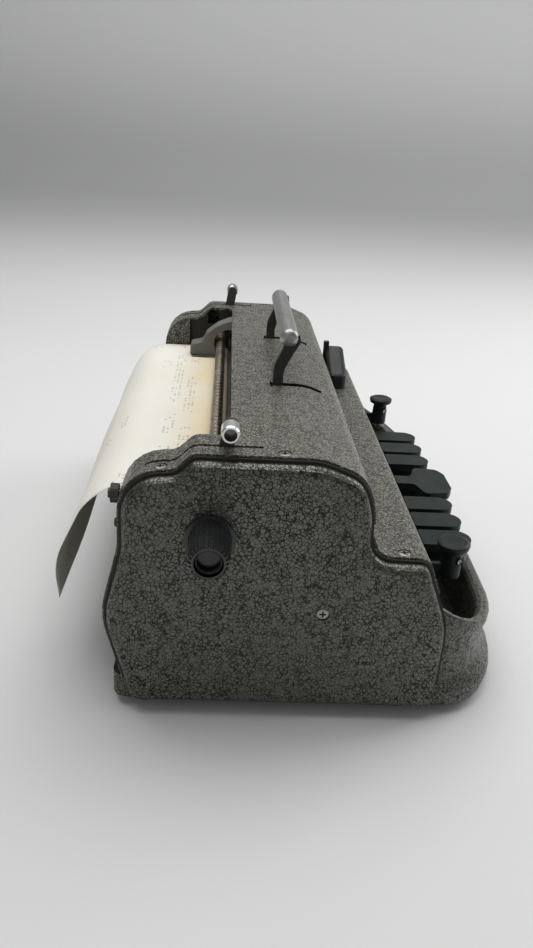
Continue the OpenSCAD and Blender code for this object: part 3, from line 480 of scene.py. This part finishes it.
def metal(name, s):
    mat, tree, bsdf = newMaterial(name)
    drawn = objectCoord(tree, s["stretch"])
    vec = objectCoord(tree)
    lines = useGroup(tree, brushing, drawn, {"Line Scale": s["lineScale"]})
    wear = useGroup(tree, wearDust, vec, {"Blotch Scale": s["blotchScale"], "Speck Scale": s["speckScale"]})
    colour = mixColour(tree, lines["Line"], s["dark"], s["light"])
    colour = tint(tree, lines["Stain"], s["stainMix"], colour, s["stain"])
    colour = tint(tree, wear["Blotch"], s["stainMix"], colour, s["stain"])
    # painted shade in a round recess
    if s.get("hollow"):
        colour = mixColour(tree, hollowMask(tree, vec, *s["hollow"]), colour, s["recessShadeColour"])
    # painted shade in the screws' cross recesses
    if s.get("crosses"):
        colour = mixColour(tree, crossMask(tree, vec, s), colour, s["crossShadeColour"])
    tree.links.new(colour, bsdf.inputs["Base Color"])
    rough = rampNode(tree, lines["Line"], *s["lineRange"], s["roughLow"], s["roughHigh"])
    tree.links.new(rough, bsdf.inputs["Roughness"])
    bsdf.inputs["Metallic"].default_value = s["metallic"]
    grooves = times(tree, lines["Line"], s["lineBump"])
    height = plus(tree, grooves, times(tree, wear["Speck"], s["speckBump"]))
    addBump(tree, bsdf, height, s["bump"], s["bumpDepth"])
    return mat


metalBase = {
    "stainMix": 0.25, "stretch": (1, 1, 1), "lineScale": 700.0, "blotchScale": 40.0, "speckScale": 1200.0,
    "lineRange": (0.3, 0.7), "roughLow": 0.25, "roughHigh": 0.42, "metallic": 1.0,
    "lineBump": 0.6, "speckBump": 0.2, "bump": 0.25, "bumpDepth": 0.0002,
}
steelMetal = metal("brushedSteel", dict(
    metalBase, dark=(0.42, 0.42, 0.42), light=(0.6, 0.6, 0.59), stain=(0.25, 0.22, 0.18),
    stretch=(0.05, 1, 1)))
rodBronze = metal("rodBronze", dict(
    metalBase, dark=(0.40, 0.35, 0.26), light=(0.62, 0.56, 0.44), stain=(0.18, 0.14, 0.09), stainMix=0.35,
    stretch=(1, 0.2, 0.2)))
darkMetal = metal("darkMetal", dict(
    metalBase, dark=(0.07, 0.068, 0.06), light=(0.14, 0.135, 0.12), stain=(0.04, 0.03, 0.02),
    roughLow=0.4, roughHigh=0.6))
nickelMetal = metal("nickel", dict(
    metalBase, dark=(0.72, 0.71, 0.69), light=(0.85, 0.84, 0.82), stain=(0.45, 0.42, 0.36), stainMix=0.15,
    roughLow=0.14, roughHigh=0.26,
    hollow=(0.0353, 0.1584, 0.00305),   # y, z and radius
    # painted shade in the release button's recess
    recessShadeColour=(0.14, 0.135, 0.13)))
screwNickel = metal("screwNickel", dict(
    metalBase, dark=(0.26, 0.26, 0.25), light=(0.44, 0.435, 0.42), stain=(0.12, 0.11, 0.09),
    roughLow=0.22, roughHigh=0.4,
    crosses=[   # the two axes across a screw head, and its place on them
        ("X", "Y", 0.163, -0.055), ("X", "Y", 0.163, 0.009), ("X", "Y", 0.163, 0.068),
        ("Y", "Z", -0.015, 0.066),
    ],
    crossHalf=0.00045, crossReach=0.0018, crossShadeColour=(0.015, 0.014, 0.012)))
bellBrass = metal("bellBrass", dict(
    metalBase, dark=(0.6, 0.44, 0.18), light=(0.8, 0.62, 0.3), stain=(0.3, 0.2, 0.08)))
gripMetal = metal("gripAluminium", dict(
    metalBase, dark=(0.34, 0.34, 0.34), light=(0.50, 0.50, 0.50), stain=(0.22, 0.215, 0.20), stainMix=0.15,
    stretch=(0.04, 1, 1), lineScale=500.0, roughLow=0.26))
headMetal = metal("headCasting", dict(
    metalBase, dark=(0.17, 0.17, 0.155), light=(0.30, 0.30, 0.275), stain=(0.10, 0.09, 0.07), metallic=0.45,
    roughLow=0.5, roughHigh=0.75, lineScale=900.0, lineBump=0.9, speckBump=1.0, bump=0.7))


def moulded(name, s):
    mat, tree, bsdf = newMaterial(name)
    vec = objectCoord(tree)
    wear = useGroup(tree, wearDust, vec, {"Blotch Scale": s["blotchScale"], "Speck Scale": s["speckScale"]})
    colour = mixColour(tree, wear["Blotch"], s["dark"], s["light"])
    colour = tint(tree, wear["Dust"], s["dustMix"], colour, s["dust"])
    # painted shade in a round recess
    if s.get("hollow"):
        colour = mixColour(tree, hollowMask(tree, vec, *s["hollow"]), colour, s["recessShadeColour"])
    tree.links.new(colour, bsdf.inputs["Base Color"])
    rough = rampNode(tree, wear["Speck"], 0.0, 1.0, s["roughLow"], s["roughHigh"])
    tree.links.new(rough, bsdf.inputs["Roughness"])
    bsdf.inputs["Coat Weight"].default_value = s["coat"]
    bsdf.inputs["Specular IOR Level"].default_value = s["specular"]
    addBump(tree, bsdf, wear["Speck"], s["bump"], s["bumpDepth"])
    return mat


mouldedBase = {
    "dustMix": 0.25, "blotchScale": 60.0, "speckScale": 2500.0, "roughLow": 0.32, "roughHigh": 0.45,
    "coat": 0.0, "specular": 0.5, "bump": 0.12, "bumpDepth": 0.0001,
}
keyPlastic = moulded("keyPlastic", dict(
    mouldedBase, dark=(0.010, 0.015, 0.014), light=(0.016, 0.022, 0.021), dust=(0.05, 0.055, 0.053),
    dustMix=0.1, specular=0.2))
knobPlastic = moulded("knobPlastic", dict(
    mouldedBase, dark=(0.012, 0.014, 0.014), light=(0.020, 0.023, 0.024), dust=(0.05, 0.055, 0.055),
    dustMix=0.1, roughLow=0.25, roughHigh=0.4, specular=0.28))
knobRibbed = moulded("knobRibbed", dict(
    mouldedBase, dark=(0.014, 0.016, 0.016), light=(0.022, 0.025, 0.026), dust=(0.05, 0.055, 0.055),
    dustMix=0.1, roughLow=0.2, roughHigh=0.34, coat=0.25,
    hollow=(0.043, 0.107, 0.00705),   # y, z and radius
    # painted shade: the knob's end recess is coloured near black
    recessShadeColour=(0.002, 0.002, 0.002)))
# the seams between cover and end panels are filled with near black brown strips, a dark sheet standing in for
# the shade down in the grooves: painted shade
seamShadeStrip = moulded("seamShadeStrip", dict(
    mouldedBase, dark=(0.008, 0.006, 0.004), light=(0.014, 0.011, 0.007), dust=(0.04, 0.035, 0.03),
    dustMix=0.1, roughLow=0.5, roughHigh=0.7))
rollerRubber = moulded("rollerRubber", dict(
    mouldedBase, dark=(0.010, 0.010, 0.010), light=(0.018, 0.018, 0.017), dust=(0.06, 0.06, 0.055),
    roughLow=0.6, roughHigh=0.8))
darkSheet = moulded("darkSheet", dict(
    mouldedBase, dark=(0.035, 0.034, 0.026), light=(0.055, 0.053, 0.042), dust=(0.13, 0.125, 0.11),
    roughLow=0.45, roughHigh=0.65))
armBlack = moulded("armBlack", dict(
    mouldedBase, dark=(0.020, 0.020, 0.017), light=(0.034, 0.033, 0.028), dust=(0.1, 0.1, 0.09),
    roughLow=0.35, roughHigh=0.5))


paperFinishSet = {
    "cellPitch": 0.0064, "linePitch": 0.0102, "dotPitch": 0.0025, "columns": 2.0, "rows": 3.0,
    "dotEdge": 0.34, "dotTop": 0.08,   # shares of the dot pitch, from the dot's middle
    "dotChance": 0.45, "groupCells": 3.0, "written": 0.07, "writtenBand": 0.62, "bandMiddle": 0.0612,
    "dotPaintedShade": (0.16, 0.145, 0.11), "dotMix": 0.75,
    "colour": (0.89, 0.87, 0.79), "colourWarm": (0.86, 0.83, 0.72),
    "cloudScale": 14.0, "cloudRange": (0.35, 0.7),
    "fibre": (0.93, 0.91, 0.85), "fibreMix": 0.12, "fibreScale": 900.0, "fibreDetail": 5.0, "fibreGrain": 0.7,
    "tan": (0.80, 0.66, 0.40), "tanTo": 0.046, "tanFrom": 0.078, "tanCloud": (0.3, 0.6),
    "tanShare": (0.55, 0.95),
    "fibreRange": (0.3, 0.7), "roughRange": (0.7, 0.9), "fibreRise": 0.06, "bump": 0.9, "bumpDepth": 0.0006,
}


def dotPattern(tree, u, v, s):
    # dots stand in cells of two columns and three rows: cell steps, then dot steps within a cell
    cellU = mathNode(tree, "DIVIDE", u, s["cellPitch"])
    cellV = mathNode(tree, "DIVIDE", v, s["linePitch"])
    inU = times(tree, mathNode(tree, "FRACT", cellU), s["cellPitch"] / s["dotPitch"])
    inV = times(tree, mathNode(tree, "FRACT", cellV), s["linePitch"] / s["dotPitch"])
    offU = minus(tree, mathNode(tree, "FRACT", inU), 0.5)
    offV = minus(tree, mathNode(tree, "FRACT", inV), 0.5)
    inside = times(tree, below(tree, inU, s["columns"]), below(tree, inV, s["rows"]))
    dot = times(tree, rampNode(tree, radiusOf(tree, offU, offV), s["dotEdge"], s["dotTop"]), inside)
    wholeU = mathNode(tree, "FLOOR", cellU)
    wholeV = mathNode(tree, "FLOOR", cellV)
    column = plus(tree, times(tree, wholeU, s["columns"]), mathNode(tree, "FLOOR", inU))
    row = plus(tree, times(tree, wholeV, s["rows"]), mathNode(tree, "FLOOR", inV))
    chosen = below(tree, pairNoise(tree, column, row), s["dotChance"])
    # groups of cells, as words on a line, with blank stretches between
    group = mathNode(tree, "FLOOR", mathNode(tree, "DIVIDE", cellU, s["groupCells"]))
    inBand = below(tree, awayFrom(tree, v, s["bandMiddle"]), s["linePitch"])
    share = plus(tree, times(tree, inBand, s["writtenBand"]), s["written"])
    written = below(tree, pairNoise(tree, group, wholeV), share)
    return times(tree, times(tree, dot, chosen), written)


def paperFinish(s):
    mat, tree, bsdf = newMaterial("embossedPaper")
    uv = tree.nodes.new("ShaderNodeUVMap")
    uv.uv_map = "sheetPlace"
    flat = splitXYZ(tree, uv.outputs["UV"])
    dots = dotPattern(tree, flat["X"], flat["Y"], s)
    vec = objectCoord(tree)
    fibre = noiseNode(tree, vec, s["fibreScale"], s["fibreDetail"], s["fibreGrain"])["Fac"]
    cloud = noiseNode(tree, vec, s["cloudScale"])["Fac"]
    colour = mixColour(tree, rampNode(tree, cloud, *s["cloudRange"]), s["colour"], s["colourWarm"])
    colour = tint(tree, fibre, s["fibreMix"], colour, s["fibre"])
    # the sheet turns tan towards the feed roller, in clouds
    nearRoller = rampNode(tree, splitXYZ(tree, vec)["Y"], s["tanTo"], s["tanFrom"], 1.0, 0.0)
    tanNearRoller = times(tree, nearRoller, rampNode(tree, cloud, *s["tanCloud"], *s["tanShare"]))
    colour = mixColour(tree, tanNearRoller, colour, s["tan"])
    # painted shade: the embossed dots are coloured darker, for the shade on their raised bumps
    colour = tint(tree, dots, s["dotMix"], colour, s["dotPaintedShade"])
    tree.links.new(colour, bsdf.inputs["Base Color"])
    tree.links.new(rampNode(tree, fibre, *s["fibreRange"], *s["roughRange"]), bsdf.inputs["Roughness"])
    height = plus(tree, dots, times(tree, fibre, s["fibreRise"]))
    addBump(tree, bsdf, height, s["bump"], s["bumpDepth"])
    return mat


paperMaterial = paperFinish(paperFinishSet)
print("materials made")


def finishNode(name, mat):
    obj = nodes[name]
    if not obj.material_slots:
        obj.data.materials.append(mat)
    for slot in obj.material_slots:
        slot.material = mat


looks = {
    panelPaint: ["left_end_panel", "right_end_panel", "base_casting"],
    apronLitPaint: ["front_apron"],
    coverPaint: ["top_cover", "keyboard_strip"],
    darkSheet: ["bottom_plate", "left_side_plate", "right_side_plate", "paper_table", "key_comb",
                "left_release_lever", "right_release_lever"],
    armBlack: ["left_handle_arm", "right_handle_arm"],
    rollerRubber: ["rubber_feet", "feed_roller", "pressure_rollers"],
    seamShadeStrip: ["left_seam_strip", "right_seam_strip"],
    nickelMetal: ["left_release_button", "right_release_button"],
    screwNickel: ["case_screws"],
    darkMetal: ["rear_screws", "thumb_nut", "smooth_rod"],
    steelMetal: ["handle_shaft", "carriage_rails", "rack_bar", "key_shaft", "ratchet_wheel", "detent_pawl",
                 "escapement_pawl", "spring_drum", "bell_hammer"] + ["emboss_bar_%d" % i for i in range(1, 7)],
    rodBronze: ["grooved_rod", "die_block"],
    bellBrass: ["bell"],
    knobPlastic: ["carriage_lever"],
    knobRibbed: ["left_knob", "right_knob"],
    keyPlastic: ["space_key", "line_space_key", "backspace_key"] + ["dot_key_%d" % i for i in range(1, 7)],
    gripMetal: ["handle_grip"],
    headMetal: ["carriage_body", "embossing_head"],
}
for look, names in looks.items():
    for nodeName in names:
        finishNode(nodeName, look)


def newPiece(name, bm, mat, body):
    mesh = bpy.data.meshes.new(name)
    bm.to_mesh(mesh)
    bm.free()
    mesh.materials.append(mat)
    obj = bpy.data.objects.new(name, mesh)
    scene.collection.objects.link(obj)
    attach(obj, body)
    return obj


def arcPoint(centre, radius, degrees):
    a = math.radians(degrees)
    return Vector((centre[0] + radius * math.cos(a), centre[1] + radius * math.sin(a)))


def cornerRun(points, steps=8):
    # points are (y, z, radius), and each corner between the two ends becomes an arc
    out = [Vector(points[0][:2])]
    for a, b, c in zip(points, points[1:], points[2:]):
        corner = Vector(b[:2])
        u = (Vector(a[:2]) - corner).normalized()
        w = (Vector(c[:2]) - corner).normalized()
        half = math.acos(max(-1, min(1, u.dot(w)))) / 2
        centre = corner + (u + w).normalized() * b[2] / math.sin(half)
        start = corner + u * b[2] / math.tan(half) - centre
        end = corner + w * b[2] / math.tan(half) - centre
        sweep = math.pi - 2 * half
        turn = 1 if start.x * end.y - start.y * end.x > 0 else -1
        for i in range(steps + 1):
            t = turn * sweep * i / steps
            out.append(centre + Vector((start.x * math.cos(t) - start.y * math.sin(t),
                                        start.x * math.sin(t) + start.y * math.cos(t))))
    out.append(Vector(points[-1][:2]))
    return out


paperSet = {
    "halfWidth": 0.1397, "thick": 0.0003, "shownThick": 0.7, "columns": 56, "step": 0.003,
    "axisY": 0.043, "axisZ": 0.107, "wrap": 0.00952, "wrapLead": 0.006, "wrapStep": 15, "wrapSteps": 12,
    "innerZ": 0.1165, "innerFrom": 0.044, "innerTo": 0.098, "innerRound": 0.030,
    "fall": [(0.111, 0.102, 0.025), (0.126, 0.070, 0.040), (0.1235, 0.0482, 0)],
    "wave": 0.0006, "waveTurn": 38, "wavePhase": 0.8, "waveFrom": 0.095, "waveGrow": 0.03,
}


def paperRun(s):
    # from below the feed roller round to its top, over the paper table and down, as (y, z) points
    middle = (s["axisY"], s["axisZ"])
    run = [Vector((s["axisY"] + s["wrapLead"], s["axisZ"] - s["wrap"]))]
    run += [arcPoint(middle, s["wrap"], -90 - s["wrapStep"] * i) for i in range(s["wrapSteps"] + 1)]
    z = s["innerZ"] + s["thick"] / 2
    run += cornerRun([(s["innerFrom"], z, 0), (s["innerTo"], z, s["innerRound"])] + s["fall"])[1:]
    fine = [run[0]]
    for a, b in zip(run, run[1:]):   # even steps, none longer than the set one
        n = max(1, math.ceil((b - a).length / s["step"]))
        fine += [a.lerp(b, i / n) for i in range(1, n + 1)]
    return fine


def makePaper(s):
    fine = paperRun(s)
    along = [0.0]
    for a, b in zip(fine, fine[1:]):
        along.append(along[-1] + (b - a).length)
    bm = bmesh.new()
    verts = [bm.verts.new((-s["halfWidth"], p.x, p.y)) for p in fine]
    edges = [bm.edges.new(pair) for pair in zip(verts, verts[1:])]
    for _ in range(s["columns"]):
        out = bmesh.ops.extrude_edge_only(bm, edges=edges)
        moved = [v for v in out["geom"] if isinstance(v, bmesh.types.BMVert)]
        edges = [e for e in out["geom"] if isinstance(e, bmesh.types.BMEdge)]
        bmesh.ops.translate(bm, verts=moved, vec=(2 * s["halfWidth"] / s["columns"], 0, 0))
    bmesh.ops.recalc_face_normals(bm, faces=bm.faces)
    place = bm.loops.layers.uv.new("sheetPlace")   # metres on the flat sheet
    lookup = {(round(p.x, 6), round(p.y, 6)): t for p, t in zip(fine, along)}
    for face in bm.faces:
        face.smooth = True
        for loop in face.loops:
            co = loop.vert.co
            loop[place].uv = (co.x + s["halfWidth"], lookup[(round(co.y, 6), round(co.z, 6))])
    for v in bm.verts:   # a slight wave across the hanging part
        share = min(1, max(0.0, (v.co.y - s["waveFrom"]) / s["waveGrow"]))
        v.co.y += s["wave"] * share * math.sin(v.co.x * s["waveTurn"] + s["wavePhase"]) - s["wave"] * share
    paper = newPiece("paperSheet", bm, paperMaterial, "case")
    solid = paper.modifiers.new("thickness", "SOLIDIFY")
    solid.thickness = s["thick"] * s["shownThick"]
    solid.offset = 0
    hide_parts("paper_sheet")
    print("paper length mm", round(along[-1] * 1000, 1))


makePaper(paperSet)


def turned(bm, profile, centre, axis, steps):
    # a closed outline of (along the axis, radius) points, spun about the axis
    axis = Vector(axis)
    side = axis.orthogonal().normalized()
    verts = [bm.verts.new(Vector(centre) + axis * along + side * radius) for along, radius in profile]
    edges = [bm.edges.new((verts[i - 1], verts[i])) for i in range(len(verts))]
    bmesh.ops.spin(bm, geom=verts + edges, cent=centre, axis=axis, angle=2 * math.pi, steps=steps,
                   use_merge=True)
    bmesh.ops.remove_doubles(bm, verts=bm.verts, dist=1e-6)
    bmesh.ops.recalc_face_normals(bm, faces=bm.faces)
    for face in bm.faces:
        face.smooth = True


def makeRing(s, name, face, axis, mat, body):
    # a ring on a face, with its two free rims cut off and its foot sunk a little below the face
    foot, rise, r = -s["ringSink"], s["ringRise"], s["ringRound"]
    outline = [(foot, s["ringIn"]), (rise - r, s["ringIn"]), (rise, s["ringIn"] + r),
               (rise, s["ringOut"] - r), (rise - r, s["ringOut"]), (foot, s["ringOut"])]
    bm = bmesh.new()
    turned(bm, outline, face, axis, s["ringSteps"])
    newPiece(name, bm, mat, body)


def slottedHead(s, centre, axis):
    # a short screw end: a cylinder with its rim rounded and a slot sunk across its face
    bm = bmesh.new()
    bmesh.ops.create_cone(bm, cap_ends=True, segments=s["segments"], radius1=s["radius"], radius2=s["radius"],
                          depth=s["depth"])
    rim = [e for e in bm.edges if all(v.co.z > 0 for v in e.verts)]
    bmesh.ops.bevel(bm, geom=rim, offset=s["round"], segments=3, profile=0.5, affect="EDGES", material=-1)
    for side in (-1, 1):
        bmesh.ops.bisect_plane(bm, geom=bm.verts[:] + bm.edges[:] + bm.faces[:],
                               plane_co=(side * s["slot"] / 2, 0, 0), plane_no=(1, 0, 0))
    middle = [f for f in bm.faces
              if f.normal.z > s["facesUp"] and abs(f.calc_center_median().x) < s["slot"] / 2]
    bmesh.ops.inset_region(bm, faces=middle, thickness=s["slotRim"], depth=-s["slotDepth"])
    bmesh.ops.recalc_face_normals(bm, faces=bm.faces)
    aim = Vector(axis).to_track_quat("Z", "Y").to_matrix().to_4x4()
    turn = aim @ Matrix.Rotation(math.radians(s["turn"]), 4, "Z")
    bmesh.ops.transform(bm, matrix=Matrix.Translation(Vector(centre)) @ turn, verts=bm.verts)
    return bm


# the set screw in the stem of each round key, and the ring round it
keyScrewSet = {
    "radius": 0.0016, "depth": 0.0014, "round": 0.0003, "segments": 32, "proud": 0.0004,
    "slot": 0.0006, "slotRim": 0.00005, "slotDepth": 0.0004, "facesUp": 0.99, "turn": 35,
    "stemX": 0.125, "stemY": -0.092, "stemRadius": 0.0058, "height": 0.0735, "angle": 212,
    "ringIn": 0.00165, "ringOut": 0.0023, "ringSink": 0.0012, "ringRise": 0.0002, "ringRound": 0.0002,
    "ringSteps": 40,
}


def makeKeyScrew(s, nodeName, body):
    lo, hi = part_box(nodeName)
    side = 1 if lo.x + hi.x > 0 else -1
    stem = Vector((side * s["stemX"], s["stemY"], s["height"]))
    a = math.radians(s["angle"])
    out = Vector((math.cos(a), math.sin(a), 0))
    face = stem + out * (s["stemRadius"] + s["proud"])
    head = slottedHead(s, face - out * s["depth"] / 2, out)
    newPiece(nodeName + "_screw", head, screwNickel, body)
    makeRing(s, nodeName + "_screw_ring", face, out, keyPlastic, body)


makeKeyScrew(keyScrewSet, "line_space_key", "key_line")
makeKeyScrew(keyScrewSet, "backspace_key", "key_back")
print("key screws made")

# the ring on the floor of each knob's recess
knobEndSet = {
    "axisY": 0.043, "axisZ": 0.107, "floorX": 0.1947,
    "ringIn": 0.0054, "ringOut": 0.0066, "ringSink": 0.0002, "ringRise": 0.0034, "ringRound": 0.0004,
    "ringSteps": 48,
}


def makeKnobEnd(s, name, side):
    floor = Vector((side * s["floorX"], s["axisY"], s["axisZ"]))
    makeRing(s, name + "_ring", floor, Vector((side, 0, 0)), rollerRubber, "feed")


makeKnobEnd(knobEndSet, "left_knob", -1)
makeKnobEnd(knobEndSet, "right_knob", 1)
print("knob ends made")

shoeSet = {
    "x": (0.1045, 0.1065, 0.1255, 0.1275), "z": (0.1182, 0.1173, 0.1173, 0.1182), "y": (0.0465, 0.0655),
    "thick": 0.0005, "bend": 0.0008,
}


def makeShoe(s):
    # thin bronze strip under the foot of the embossing head, turned up at both ends
    bm = bmesh.new()
    verts = [bm.verts.new((x, s["y"][0], z)) for x, z in zip(s["x"], s["z"])]
    edges = [bm.edges.new(pair) for pair in zip(verts, verts[1:])]
    out = bmesh.ops.extrude_edge_only(bm, edges=edges)
    moved = [v for v in out["geom"] if isinstance(v, bmesh.types.BMVert)]
    bmesh.ops.translate(bm, verts=moved, vec=(0, s["y"][1] - s["y"][0], 0))
    bends = [e for e in bm.edges if len(e.link_faces) == 2]
    bmesh.ops.bevel(bm, geom=bends, offset=s["bend"], segments=3, profile=0.5, affect="EDGES", material=-1)
    bmesh.ops.recalc_face_normals(bm, faces=bm.faces)
    bmesh.ops.solidify(bm, geom=bm.faces[:], thickness=s["thick"])
    bmesh.ops.recalc_face_normals(bm, faces=bm.faces)
    newPiece("head_shoe", bm, rodBronze, "carriage")


makeShoe(shoeSet)
print("head shoe made")
